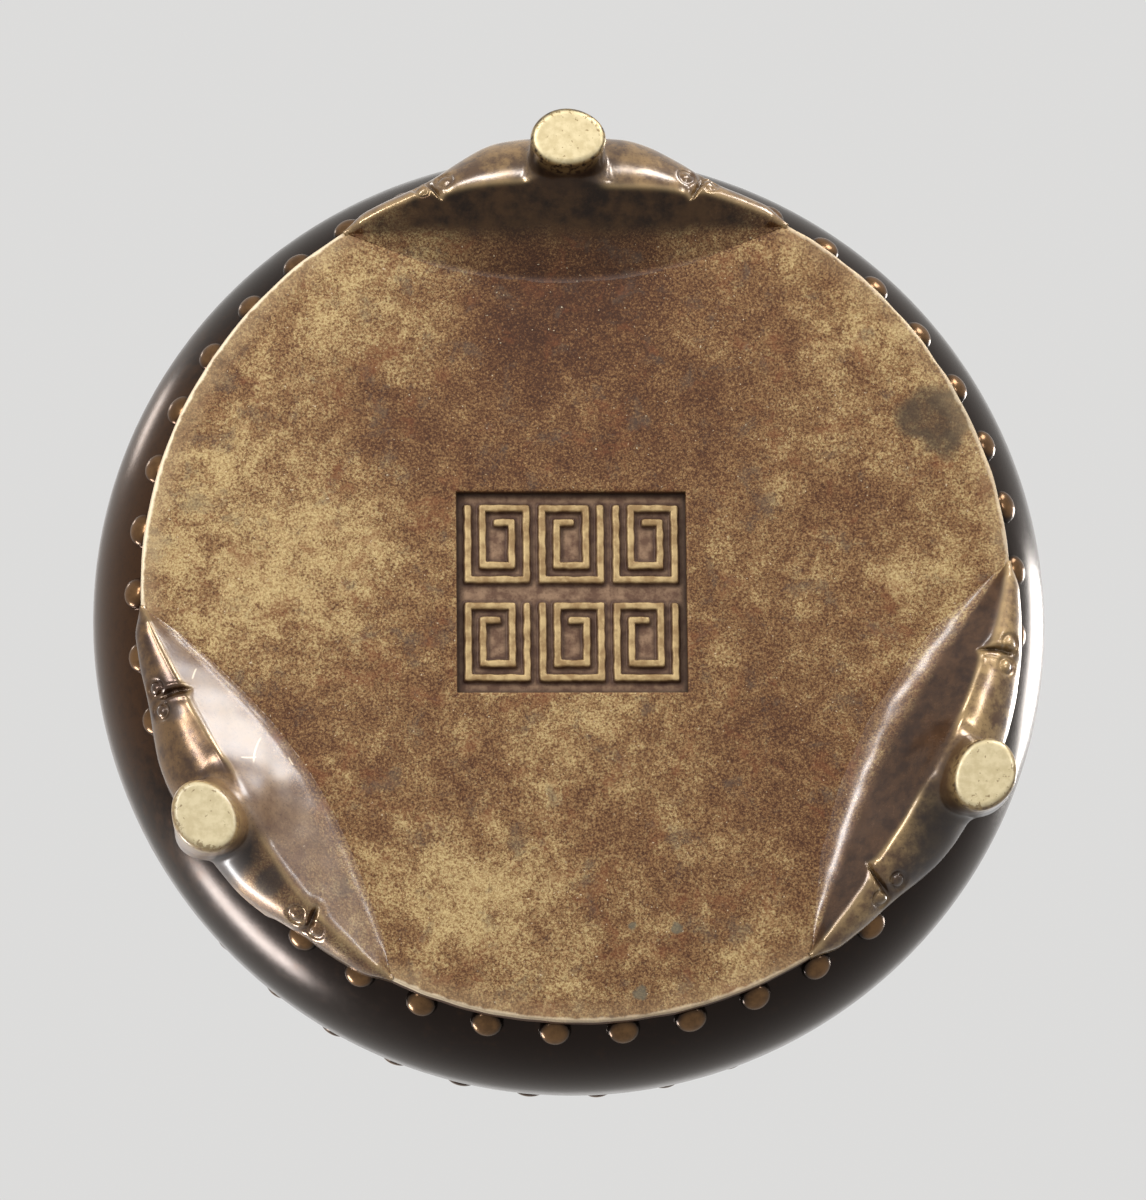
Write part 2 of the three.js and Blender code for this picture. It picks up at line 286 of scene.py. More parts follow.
def foot_outline(x, y, foot):
    """The lines that a foot's surface is built on, at a point given in the foot's own frame."""
    radius = np.hypot(x, y)
    angle = np.arctan2(np.abs(y), x)
    away = np.degrees(angle)
    outward = np.clip(away / WING_ANGLE, 0, 1)
    tip_along = PLATE_R * math.cos(math.radians(WING_ANGLE))
    middle = PLATE_R - CREASE_REACH
    near_angle = np.minimum(angle, 0.7)
    across = np.tan(near_angle) / math.tan(math.radians(WING_ANGLE))
    along = np.minimum(middle + (tip_along - middle) * across**2, tip_along + 1)
    signed = np.degrees(np.arctan2(y, x))
    lesser, greater = foot["reaches"]
    side = smooth(-6, 6, signed)
    beside, inside, outside = (a + (b - a) * side for a, b in zip(lesser, greater))
    lobe = beside + (inside - beside) * smooth(4, NOTCH_ANGLE, away)
    wing = outside + (TIP_REACH - outside) * np.clip((away - NOTCH_ANGLE) / (WING_ANGLE - NOTCH_ANGLE), 0, 1)
    reach = lobe + (wing - lobe) * smooth(NOTCH_ANGLE - 0.5, NOTCH_ANGLE + 0.7, away)
    crest = PLATE_R - reach - 0.6 * ridge(away - NOTCH_ANGLE, 0.8)
    # The hollow behind runs past the cusp without a step
    back_reach = lesser[0] + (greater[0] - lesser[0]) * smooth(-16, 16, signed) - TIP_REACH
    back_crest = PLATE_R - TIP_REACH - back_reach * (1 - outward**2)
    crease = np.minimum(along / np.cos(near_angle), crest - 0.35)
    tip_fade = 1 - 0.75 * smooth(WING_ANGLE - 2.6, WING_ANGLE, away)
    back_drop = tip_fade * (TIP_DROP + (CREST_DROP - TIP_DROP) * (1 - outward**1.5))
    drop = back_drop * (1 - 0.1 * ridge(away - NOTCH_ANGLE, 1.3))
    bulge = 1 - smooth(7, np.where(y < 0, *foot["swell_ends"]), away)
    face = PLATE_R + 0.15 + TIP_SWELL * smooth(WING_ANGLE, 27, away) + (foot["swell"] - TIP_SWELL) * bulge
    return radius, away, crest, crease, drop, face, back_crest, back_drop


def hollow_drop(radius, crest, crease, drop, foot):
    """How far a foot's hollow back hangs under the plate, with its place past the crease, fillet and length."""
    length = crest - crease
    width = np.minimum(foot["fillet"], 0.45 * length)
    u = radius - crease
    ramp = np.where(u > width, u, np.maximum(u + width, 0) ** 2 / (4 * width))
    return drop * (ramp / length) ** foot["bow"], u, width, length


def cut_lines(radius, away, crest):
    """How far a point is along the rim from the cut in a wing, straight and with the cut's bend."""
    aside = (away - NOTCH_ANGLE) * NOTCH_ARC
    return aside, aside - 0.5 * np.sin((radius - crest) * 0.55)


def post_field(x, y, z):
    """How far a point is outside a foot's post, whose inner side slopes back into the hollow."""
    up = np.clip(z - 1, 0, 14)
    pull = 0.66 * up * up / (up + 1.5)
    centre = POST_CENTRE - pull / 2
    turn = np.arctan2(y, x - centre)
    stout = 1 + 0.015 * np.cos(3 * turn + 0.7)
    wide, deep = POST_R * stout, (POST_DEPTH + pull / 2) * stout
    across, depth = y / wide, (x - centre) / deep
    rise = np.maximum(z - POST_HEIGHT, 0) / POST_HEIGHT
    length = np.sqrt(across * across + depth * depth + rise * rise) + 1e-6
    tilt = np.sqrt((across / wide) ** 2 + (depth / deep) ** 2 + (rise / POST_HEIGHT) ** 2) + 1e-6
    side = (length - 1) * length / tilt
    a, b = side + SOLE_EDGE, SOLE_EDGE - z
    return np.minimum(np.maximum(a, b), 0) + np.hypot(np.maximum(a, 0), np.maximum(b, 0)) - SOLE_EDGE


def foot_field(x, y, z, foot):
    """How far a point in the foot's own frame is outside its surface."""
    radius, away, crest, crease, drop, face, back_crest, back_drop = foot_outline(x, y, foot)
    below = STAND - z
    hang, u, width, length = hollow_drop(radius, back_crest, crease, back_drop, foot)
    slope = back_drop / length
    back = (below - hang) / np.sqrt(1 + slope * slope)
    top = STAND + SHOULDER_RISE + (WING_RISE - SHOULDER_RISE) * smooth(SHOULDER_ANGLE, SHOULDER_END, away)
    # The lip's outer face, rounded from the crest out, and back in to the wall above
    skirt = wall_radius(np.maximum(z, PLATE_TOP)) + 0.4
    shrink = np.sqrt(np.maximum(1 - (np.clip(z - STAND - 1, 0, 99) / (top + 1.5 - STAND)) ** 2.5, 0))
    face = skirt + np.maximum(face - skirt, 0) * shrink
    width_out = face - crest
    out = np.maximum(radius - crest, 0) / width_out
    sink = np.clip(below / drop, 0, 3)
    reach = np.sqrt(out * out + sink**1.5 + 1e-9)
    grade = np.hypot(out / width_out, 0.75 * np.sqrt(sink) / drop) / reach
    lip = (reach - 1) / np.maximum(grade, 0.05)
    wing = smax(back, lip, 0.5)
    wing = smax(wing, z - top, 0.7)
    wing = np.maximum(wing, (away - WING_ANGLE) * WING_ARC)
    # The cut that parts a wing's two lobes, with a curl to either side of its outer end
    aside, bend = cut_lines(radius, away, crest)
    run = smooth(crest - 0.7, crest + 1.2, radius) * smooth(0.5, 3.0, below)
    cut = 0.85 * ridge(bend, 0.42) - 0.25 * ridge(np.abs(bend) - 1.1, 0.5)
    wing = wing + cut * run * smooth(crest + 6.2, crest + 3.6, radius)
    outer, lower = radius - PLATE_R + 0.3, below - 0.62 * drop
    curl = np.sqrt(outer**2 + (np.abs(aside) - CURL_ASIDE) ** 2 + lower**2 * 0.5)
    wing = wing + 0.4 * ridge(curl - CURL_R, 0.4) - 0.4 * ridge(curl, 0.8)
    join = 1.3 + 4.2 * smooth(POST_CENTRE - 3, POST_CENTRE - 9, x)
    body = smin(wing, post_field(x, y, z), join)
    body = body + 0.06 * smooth(0, 3, z) * uneven(x, y, z, FOOT_WAVES)
    # Kept out of the plate, the hoop and the wall
    taken = np.where(z < PLATE_TOP, PLATE_R - 0.25, wall_radius(np.maximum(z, PLATE_TOP)) - 0.3)
    body = np.maximum(body, -np.maximum(below + 0.5, radius - taken))
    return np.maximum(np.maximum(body, -(u + 0.7 * width)), -z)


def surface_net(field, low, high, step):
    """The surface where a field is zero, as points and quads that face outwards."""
    axes = [np.arange(a, b + step, step, dtype=np.float32) for a, b in zip(low, high)]
    x, y, z = np.meshgrid(*axes, indexing="ij")
    value = field(x, y, z).astype(np.float32)
    inside = value < 0
    size = np.array(value.shape) - 1
    corners = [(i, j, k) for i in (0, 1) for j in (0, 1) for k in (0, 1)]
    count = sum(inside[i : size[0] + i, j : size[1] + j, k : size[2] + k].astype(np.int8) for i, j, k in corners)
    cell = np.argwhere((count > 0) & (count < 8))
    number = -np.ones(size, np.int32)
    number[tuple(cell.T)] = np.arange(len(cell))
    total = np.zeros((len(cell), 3))
    hits = np.zeros(len(cell))
    for a in corners:
        for axis in range(3):
            if a[axis]:
                continue
            way = np.arange(3) == axis
            va, vb = value[tuple((cell + a).T)], value[tuple((cell + a + way).T)]
            crossing = (va < 0) != (vb < 0)
            share = np.where(crossing, va / np.where(crossing, va - vb, 1), 0)
            total += np.where(crossing[:, None], a + share[:, None] * way, 0)
            hits += crossing
    points = np.array(low) + (cell + total / hits[:, None]) * step
    faces = []
    for axis in range(3):
        around = [(axis + 1) % 3, (axis + 2) % 3]
        edge = np.argwhere(np.diff(inside, axis=axis))
        edge = edge[((edge[:, around] > 0) & (edge[:, around] < size[around])).all(axis=1)]
        quad = []
        for back in ((1, 1), (0, 1), (0, 0), (1, 0)):
            at = edge.copy()
            at[:, around] -= back
            quad.append(number[tuple(at.T)])
        quad = np.stack(quad, axis=1)
        outward = inside[tuple(edge.T)]
        quad[~outward] = quad[~outward][:, ::-1]
        faces.append(quad)
    return points, np.concatenate(faces)


def slope_of(field, points, reach=0.02):
    """The gradient of a field at points."""
    steps = np.eye(3) * reach
    columns = [(field(*(points + step).T) - field(*(points - step).T)) / (2 * reach) for step in steps]
    return np.stack(columns, axis=1)


def make_foot(name, foot, material):
    bearing = math.radians(foot["bearing"])
    cos, sin = math.cos(bearing), math.sin(bearing)

    def field(x, y, z):
        swell = base_swell(x * cos - y * sin, x * sin + y * cos)
        return foot_field(x, y, z + swell * smooth(3, 9, z), foot)

    def turned(rows):
        x, y, z = rows.T
        return np.column_stack([x * cos - y * sin, x * sin + y * cos, z])

    points, faces = surface_net(field, (50.0, -38.4, -0.5), (80.4, 38.4, 25.2), FOOT_STEP)
    # Each point is moved onto the surface itself, three times
    for _ in range(3):
        gradient = slope_of(field, points)
        steep = np.maximum((gradient**2).sum(1), 0.2)
        move = -field(*points.T)[:, None] * gradient / steep[:, None]
        points = points + np.clip(move, -0.3 * FOOT_STEP, 0.3 * FOOT_STEP)
    points[:, 2] = np.maximum(points[:, 2], 0)
    normals = unit(slope_of(field, points, 0.05), 1e-6)
    x, y, z = points.T
    radius, away, crest, crease, drop, *_ = foot_outline(x, y, foot)
    below = STAND - z
    bend = cut_lines(radius, away, crest)[1]
    on_post = smooth(1.5, -0.3, post_field(x, y, z)) * smooth(10, 4, z)
    edge = np.hypot(radius - crest - 0.1, (below - drop + 0.2) * 0.8)
    outer = x - POST_CENTRE
    past = smooth(0.6, 0.95, np.hypot(y / POST_R, outer / POST_DEPTH))
    layers = {
        "sole": smooth(0.55, 0.12, z) * smooth(-0.6, -0.9, normals[:, 2]),
        "brink": past * smooth(-3, 2, outer),
        "shoulder": smooth(3.6, 1.2, z) * on_post,
        "post": on_post,
        "crest": ridge(edge, 0.5) * (1 - on_post),
        "lip": smooth(-0.4, 0.5, radius - crest) * (1 - on_post),
        "groove": ridge(bend, 0.5) * smooth(crest - 0.6, crest + 0.8, radius) * smooth(0.4, 2.0, below),
        "deep": smooth(0, 1, (radius - crease) / np.maximum(crest - crease, 0.4)),
        "apron": smooth(-0.2, -0.8, (radius - crease) / foot["fillet"]),
    }
    piece = to_mesh(f"{name}_cast", turned(points), faces, normals=turned(normals), layers=layers)
    finish_piece(piece, material, name)


# The base plate


def plate_drop(x, y):
    """How far the plate's underside dips into each hollow, up to where the foot's own surface takes over."""
    total = np.zeros_like(x)
    for foot in FEET.values():
        bearing = math.radians(foot["bearing"])
        fx = x * math.cos(bearing) + y * math.sin(bearing)
        fy = -x * math.sin(bearing) + y * math.cos(bearing)
        ahead = fx > 40
        fx = np.where(ahead, fx, 40)
        radius, away, _, crease, _, _, crest, drop = foot_outline(fx, fy, foot)
        near = ahead & (away < WING_ANGLE + 0.3)
        _, u, width, _ = hollow_drop(radius, crest, crease, drop, foot)
        join = np.minimum(u, -PLATE_JOIN * width) + crease
        hang = hollow_drop(join, crest, crease, drop, foot)[0]
        sunk = 0.012 + 0.3 * smooth(-0.64 * width, -0.1 * width, u)
        total = np.where(near & (u > -width), hang - np.where(u > -PLATE_JOIN * width, sunk, 0.004), total)
    return total


def rectangle_loop(grow, z):
    """Points round the window, grown all round, from the middle of its right side."""
    hw, hd = WINDOW_W / 2 + grow, WINDOW_D / 2 + grow
    across = 166 * TURNS // 720
    along = TURNS // 2 - across
    corners = np.array([(hw, -hd), (hw, hd), (-hw, hd), (-hw, -hd)])
    sides = zip(corners, np.roll(corners, -1, axis=0), (across, along, across, along))
    loop = np.concatenate([a + (b - a) * np.arange(count)[:, None] / count for a, b, count in sides])
    loop = np.roll(loop, -across // 2, axis=0) + (WINDOW_X, WINDOW_Y)
    return np.column_stack([loop, np.full(len(loop), z)])


def make_plate(material):
    spigot_r = float(wall_radius(PLATE_TOP, WALL)) - GAP
    spigot_z = PLATE_TOP + SPIGOT
    top_round, low_round = 0.5, 0.45
    loops = [rectangle_loop(SEAT_MARGIN, spigot_z)]
    for share in (0.02, 0.3, 0.6, 0.98):
        loops.append(loops[0] * (1 - share) + spun([(spigot_r, spigot_z)]) * share)
    outline = [
        (spigot_r, spigot_z), (spigot_r, PLATE_TOP), (PLATE_R - 1.8, PLATE_TOP),
        *arc_points(PLATE_R - top_round, PLATE_TOP - top_round, top_round, 90, 0, 5),
        (PLATE_R, PLATE_TOP - 1.5),
        *arc_points(PLATE_R - low_round, STAND + low_round, low_round, 0, -90, 7),
    ]
    loops.append(spun(outline))
    rim = spun([(PLATE_R - low_round, STAND)])
    edge = rectangle_loop(0.25, STAND)
    for share in np.linspace(0, 1, PLATE_ROWS)[1:]:
        loops.append(rim * (1 - share) + edge * share)
    window = ((0.07, 0.08), (0, 0.3), (0, LEDGE - 0.1), (0, LEDGE), (SEAT_MARGIN, LEDGE))
    loops += [rectangle_loop(grow, STAND + rise) for grow, rise in window]
    points = np.concatenate(loops)
    x, y, z = points.T
    under = z < STAND + 0.5
    radius = np.hypot(x, y)
    wobble = 1 + smooth(PLATE_R - 3, PLATE_R, radius) * 0.0016 * uneven(x, y, x * 0, EDGE_WAVES)
    points[:, :2] *= wobble[:, None]
    fade = smooth(STAND + 0.5, STAND, z)
    points[:, 2] = z - np.where(under, (base_swell(x, y) + plate_drop(x, y)) * fade, 0)
    piece = to_mesh("base_plate_cast", points, loops_to_faces(len(points) // TURNS, TURNS))
    finish_piece(piece, material, "base_plate")


# The tablet


def fret_line(side):
    """Corners of one key fret, wound inwards from a corner."""
    x, y = FRET_SIZE[0] / 2, FRET_SIZE[1] / 2
    step = 2 * FRET_LINE
    corners = [(-x, -y), (-x, y), (x, y), (x, -y), (-x + step, -y), (-x + step, y - step)]
    corners += [(x - step, y - step), (x - step, -y + step), (-x + 2 * step, -y + step)]
    return [(side * a, b) for a, b in corners]


def fret_distance(x, y):
    """Distance to the nearest fret's centre line."""
    nearest = np.full(x.shape, 99.0)
    for column in range(3):
        for row in range(2):
            cx = WINDOW_X + (column - 1) * FRET_PITCH[0]
            cy = WINDOW_Y + (row - 0.5) * FRET_PITCH[1]
            line = fret_line((-1) ** (column + row))
            for (ax, ay), (bx, by) in zip(line, line[1:]):
                px, py = x - cx - ax, y - cy - ay
                dx, dy = bx - ax, by - ay
                t = np.clip((px * dx + py * dy) / (dx * dx + dy * dy), 0, 1)
                px, py = np.abs(px - t * dx), np.abs(py - t * dy)
                nearest = np.minimum(nearest, 0.5 * np.maximum(px, py) + 0.5 * np.hypot(px, py))
    return nearest


def make_tablet(material):
    width, depth = WINDOW_W + 2 * TABLET_MARGIN, WINDOW_D + 2 * TABLET_MARGIN
    xs = np.linspace(-width / 2, width / 2, int(width / TABLET_STEP)) + WINDOW_X
    ys = np.linspace(-depth / 2, depth / 2, int(depth / TABLET_STEP)) + WINDOW_Y
    x, y = np.meshgrid(xs, ys, indexing="ij")
    gap = fret_distance(x, y) + 0.07 * uneven(x * 3, y * 3, x * 0, EDGE_WAVES)
    half = FRET_LINE / 2
    relief = smooth(half + 0.22, half - 0.16, gap)
    crown = FRET_CROWN * np.sqrt(np.clip(1 - (gap / half) ** 2, 0, 1))
    face = STAND + LEDGE + 0.05 * uneven(x * 2, y * 2, x * 0, BASE_WAVES)
    z = face - relief * (FRET_RISE - FRET_CROWN) - crown * relief
    inner = (np.abs(x - WINDOW_X) < width / 2 - 0.01) & (np.abs(y - WINDOW_Y) < depth / 2 - 0.01)
    z = np.where(inner, z, STAND + LEDGE + 0.1)
    number = np.arange(x.size).reshape(x.shape)
    under = np.column_stack([x.ravel(), y.ravel(), z.ravel()])
    a, b, c, d = number[:-1, :-1], number[1:, :-1], number[1:, 1:], number[:-1, 1:]
    sheet = np.stack([a, d, c, b], axis=-1).reshape(-1, 4)
    # The sides go up from the sheet's border to a flat lid
    ring = np.concatenate([number[:, 0], number[-1, 1:], number[-2::-1, -1], number[0, -2:0:-1]])
    lid_ring = len(under) + np.arange(len(ring))
    sides = np.stack([ring, np.roll(ring, -1), np.roll(lid_ring, -1), lid_ring], axis=-1)
    top = STAND + LEDGE + TABLET_THICK
    lid = np.column_stack([under[ring, :2], np.full(len(ring), top)])
    points = np.concatenate([under, lid, [[WINDOW_X, WINDOW_Y, top]]])
    blank = np.zeros(len(ring) + 1)
    layers = {
        "relief": np.concatenate([relief.ravel(), blank]),
        # Painted shade in the ground along the foot of the raised frets
        "relief_shade": np.concatenate([ridge(gap - half - 0.3, 0.35).ravel(), blank]),
    }
    cap = fan(lid_ring, len(points) - 1)
    piece = to_mesh("base_tablet_relief", points, np.concatenate([sheet, sides]), cap, layers=layers)
    finish_piece(piece, material, "base_tablet")


# The wall, the hoops and the mouth ring


def lathe_normals(outline):
    """Normals of a turned outline, which follow the wall's own arcs where it has them."""
    ahead = unit(np.roll(outline, -1, axis=0) - outline)
    behind = unit(outline - np.roll(outline, 1, axis=0))
    mean = unit(ahead + behind)
    normal = np.column_stack([mean[:, 1], -mean[:, 0]])
    radius, z = outline.T
    outside = np.abs(radius - wall_radius(z)) < 0.02
    sine = (z - BELLY_Z) / wall_arc(z)
    normal[outside] = np.column_stack([np.sqrt(1 - sine**2), sine])[outside]
    return spun(normal)


def point_normals(points, quads, triangles):
    """Normals of a mesh at its points, from the faces round each."""
    total = np.zeros((len(points), 3))
    for faces in (quads, triangles):
        corners = points[faces]
        face = np.cross(corners[:, 2] - corners[:, 0], corners[:, -1] - corners[:, 1])
        for column in faces.T:
            np.add.at(total, column, face)
    return unit(total)


def make_wall(material):
    rebate = HOOP + 0.05
    outline = np.concatenate([
        [[wall_radius(PLATE_TOP, WALL), PLATE_TOP]],
        wall_side(PLATE_TOP, LOW_HOOP_TOP, 4, rebate),
        wall_side(LOW_HOOP_TOP, BELLY_Z, 26),
        wall_side(BELLY_Z, HIGH_HOOP_BOTTOM, 22)[1:],
        wall_side(HIGH_HOOP_BOTTOM, RING_BOTTOM, 4, rebate),
        wall_side(RING_BOTTOM, BELLY_Z, 16, WALL),
        wall_side(BELLY_Z, PLATE_TOP, 16, WALL)[1:-1],
    ])
    faces = loops_to_faces(len(outline), TURNS)
    piece = to_mesh("bowl_wall_cast", spun(outline), faces, normals=lathe_normals(outline))
    finish_piece(piece, material, "bowl_wall")


def boss_bearings():
    """Bearings of the lower row's bosses, with gaps behind the feet, and of the upper row's."""
    even = np.arange(BOSSES) * 360 / BOSSES
    low = even - 1.6 + 1.9 * np.cos(np.radians(even - 167))
    gaps = [np.abs((low - foot["bearing"] + 180) % 360 - 180) for foot in FEET.values()]
    return low[np.min(gaps, axis=0) >= COVER_ANGLE], even + 0.8


def boss_points(z, bearing, random):
    """One cast boss, a dome with a soft foot, on the wall at a height and a bearing."""
    waist = [(BOSS_R + 0.4, -BOSS_ROOT), (BOSS_R + 0.22, -0.1), (BOSS_R + 0.06, 0.04), (BOSS_R, BOSS_WAIST)]
    angle = math.pi / 2 * np.arange(1, 11) / 11
    rise = BOSS_WAIST + (BOSS_RISE - BOSS_WAIST) * np.sin(angle) ** 1.05
    outline = np.concatenate([waist, np.column_stack([BOSS_R * np.cos(angle) ** 0.9, rise])])
    stretch = 1 + random.uniform(-0.05, 0.04)
    tilt = random.uniform(-0.12, 0.12, size=2)
    angle = round_angles(BOSS_SIDES)
    size, up = outline[:, :1], outline[:, 1:]
    u, v = size * np.cos(angle) * stretch, size * np.sin(angle)
    w = up * (1 + (tilt[0] * u + tilt[1] * v) * 0.12 * (up > 0.3))
    points = np.stack([u, v, w], axis=-1).reshape(-1, 3)
    tip = len(points)
    points = np.concatenate([points, [[0, 0, BOSS_RISE], [0, 0, -BOSS_ROOT]]])
    lift = math.asin((z - BELLY_Z) / float(wall_arc(z)))
    across = Vector((0, 1, 0))
    normal = Vector((math.cos(lift), 0, math.sin(lift)))
    turn = Matrix.Rotation(math.radians(bearing), 3, "Z")
    basis = np.array(turn @ Matrix((across, normal.cross(across), normal)).transposed())
    centre = np.array(turn @ Vector((float(wall_radius(z)), 0, z)))
    quads = loops_to_faces(len(outline), BOSS_SIDES, closed=False)
    first, last = np.arange(BOSS_SIDES), np.arange(tip - BOSS_SIDES, tip)
    triangles = np.concatenate([fan(last, tip), fan(first[::-1], tip + 1)])
    return points @ basis.T + centre, quads, triangles, np.clip(points[:, 2] / BOSS_RISE, 0, 1)


def make_hoop(name, low, high, row, tilt, bearings, seed, material):
    outline = np.concatenate([wall_side(low, high, 8), wall_side(high, low, 8, HOOP)])
    band = lathe_normals(outline)
    parts = [(spun(outline), loops_to_faces(len(outline), TURNS), NO_TRIANGLES, np.zeros(len(band)))]
    random = np.random.default_rng(seed)
    start = len(band)
    for bearing in bearings:
        height = row + tilt * math.cos(math.radians(bearing)) + random.uniform(-0.12, 0.12)
        points, quads, triangles, rise = boss_points(height, bearing, random)
        parts.append((points, quads + start, triangles + start, 0.5 + 0.5 * rise))
        start += len(points)
    points, quads, triangles, on_boss = (np.concatenate(part) for part in zip(*parts))
    normals = point_normals(points, quads, triangles)
    normals[: len(band)] = band
    piece = to_mesh(f"{name}_bosses_cast", points, quads, triangles, normals, {"boss": on_boss})
    finish_piece(piece, material, f"{name}_boss_hoop")


def make_ring(material):
    spigot_r = float(wall_radius(RING_BOTTOM, WALL)) - GAP
    spigot_z = RING_BOTTOM - SPIGOT
    low_round, top_round = 0.6, 0.9
    outline = [
        (MOUTH_R + 0.3, spigot_z), (spigot_r, spigot_z), (spigot_r, RING_BOTTOM),
        *arc_points(RING_R - low_round, RING_BOTTOM + low_round, low_round, -90, 0, 7),
        *arc_points(RING_R - top_round, OVERALL - top_round, top_round, 0, 90, 9),
        (RING_R - 3, OVERALL), (MOUTH_R + 3, OVERALL - 0.05),
        *arc_points(MOUTH_R + top_round, OVERALL - 0.05 - top_round, top_round, 90, 180, 9),
        (MOUTH_R, spigot_z + 0.3),
    ]
    piece = to_mesh("mouth_ring_cast", spun(outline), loops_to_faces(len(outline), TURNS))
    finish_piece(piece, material, "mouth_ring")


# Materials


def rgb(red, green, blue):
    """The light of a colour that is given as it looks, 0 to 255."""
    channels = []
    for value in (red, green, blue):
        value /= 255
        channels.append(value / 12.92 if value <= 0.04045 else ((value + 0.055) / 1.055) ** 2.4)
    return (*channels, 1.0)


def clear_tree(owner):
    owner.use_nodes = True
    owner.node_tree.nodes.clear()
    return owner.node_tree


def feed(tree, socket, value):
    """Set an input, or link it where the value is another node's output."""
    value = getattr(value, "socket", value)
    if isinstance(value, bpy.types.NodeSocket):
        tree.links.new(value, socket)
    else:
        socket.default_value = value


def add_node(tree, kind, *inputs, **settings):
    """A node of a kind, with its first inputs fed in order."""
    node = tree.nodes.new(kind)
    for key, value in settings.items():
        setattr(node, key, value)
    for socket, value in zip(node.inputs, inputs):
        feed(tree, socket, value)
    return node


class Value:
    """A node's output. Arithmetic with values adds further nodes."""

    def __init__(self, tree, socket):
        self.tree = tree
        self.socket = socket

    def join(self, operation, *values):
        return Value(self.tree, add_node(self.tree, "ShaderNodeMath", *values, operation=operation).outputs[0])

    def __add__(self, other):
        return self.join("ADD", self, other)

    def __sub__(self, other):
        return self.join("SUBTRACT", self, other)

    def __rsub__(self, other):
        return self.join("SUBTRACT", other, self)

    def __mul__(self, other):
        return self.join("MULTIPLY", self, other)

    __radd__ = __add__
    __rmul__ = __mul__

    def __abs__(self):
        return self.join("ABSOLUTE", self)

    def root(self):
        return self.join("SQRT", self)

    def most(self, other):
        return self.join("MAXIMUM", self, other)

    def centred(self, gain):
        """A noise value taken about its middle and stretched."""
        return (self - 0.5) * gain

    def step(self, low, high, first=0.0, last=1.0):
        """A soft step from the first value at low to the last one at high."""
        ends = (low, high, first, last)
        node = add_node(self.tree, "ShaderNodeMapRange", self, *ends, interpolation_type="SMOOTHSTEP")
        return Value(self.tree, node.outputs[0])


class Graph:
    """Short ways to add and link a material's nodes. Places are in millimetres."""

    def __init__(self, name):
        self.material = bpy.data.materials.new(name)
        self.tree = clear_tree(self.material)
        self.shader = self.add("ShaderNodeBsdfPrincipled")
        self.add("ShaderNodeOutputMaterial", self.shader.outputs["BSDF"])
        coords = self.add("ShaderNodeTexCoord").outputs["Object"]
        scale = self.add("ShaderNodeVectorMath", coords, operation="SCALE")
        scale.inputs["Scale"].default_value = 1 / MM
        self.place = scale.outputs[0]
        self.colour = None

    def add(self, kind, *inputs, **settings):
        return add_node(self.tree, kind, *inputs, **settings)

    def noise(self, size, detail=2.0, rough=0.5, warp=0.0, shift=(0.0, 0.0, 0.0)):
        """Noise with features of a size in millimetres."""
        mapping = self.add("ShaderNodeMapping", self.place, shift)
        node = self.add("ShaderNodeTexNoise", mapping.outputs[0], 0.0, 1.0 / size, detail, rough)
        node.inputs["Distortion"].default_value = warp
        return Value(self.tree, node.outputs["Fac"])

    def layer(self, name):
        return Value(self.tree, self.add("ShaderNodeAttribute", attribute_name=name).outputs["Fac"])

    def blend(self, share, a, b):
        node = self.add("ShaderNodeMix", data_type="RGBA", blend_type="MIX")
        for index, value in ((0, share), (6, a), (7, b)):
            feed(self.tree, node.inputs[index], value)
        return node.outputs[2]

    def paint(self, share, colour):
        """Lay a colour over the one so far."""
        self.colour = self.blend(share, self.colour, colour)

    def ramp(self, place, stops):
        node = self.add("ShaderNodeValToRGB", place)
        elements = node.color_ramp.elements
        elements[0].position, elements[0].color = stops[0]
        elements[1].position, elements[1].color = stops[-1]
        for position, colour in stops[1:-1]:
            elements.new(position).color = colour
        return node.outputs[0]

    def axis(self, index):
        return Value(self.tree, self.add("ShaderNodeSeparateXYZ", self.place).outputs[index])

    def distance(self, x, y):
        """How far a point is from an upright line."""
        px, py = self.axis(0) - x, self.axis(1) - y
        return (px * px + py * py).root()

    def spot(self, x, y, reach):
        """1 at a point of the base, falling to 0 at its reach."""
        return self.distance(x, y).step(reach, 0.0)

    def scratch(self, x, y, bearing, length):
        """1 on a fine bent line on the base, given by its middle, and 0 away from it."""
        cos, sin = math.cos(math.radians(bearing)), math.sin(math.radians(bearing))
        dx, dy = self.axis(0) - x, self.axis(1) - y
        along = dx * cos + dy * sin
        across = dy * cos - dx * sin + along * along * SCRATCH_BEND
        return abs(across).step(SCRATCH_WIDTH, SCRATCH_WIDTH / 4) * abs(along).step(length / 2, length / 3)

    def bump(self, height, strength, reach):
        node = self.add("ShaderNodeBump")
        for name, value in (("Strength", strength), ("Distance", reach * MM), ("Height", height)):
            feed(self.tree, node.inputs[name], value)
        feed(self.tree, self.shader.inputs["Normal"], node.outputs[0])

    def surface(self, roughness, metallic, **fixed):
        """Feed the shader. Further inputs are numbers or colours, set on its own sockets."""
        fed = {"Base Color": self.colour, "Roughness": roughness, "Metallic": metallic}
        for name, value in {**fed, **fixed}.items():
            feed(self.tree, self.shader.inputs[name], value)
        return self.material


SCRATCH_WIDTH = 0.2
SCRATCH_BEND = 0.05

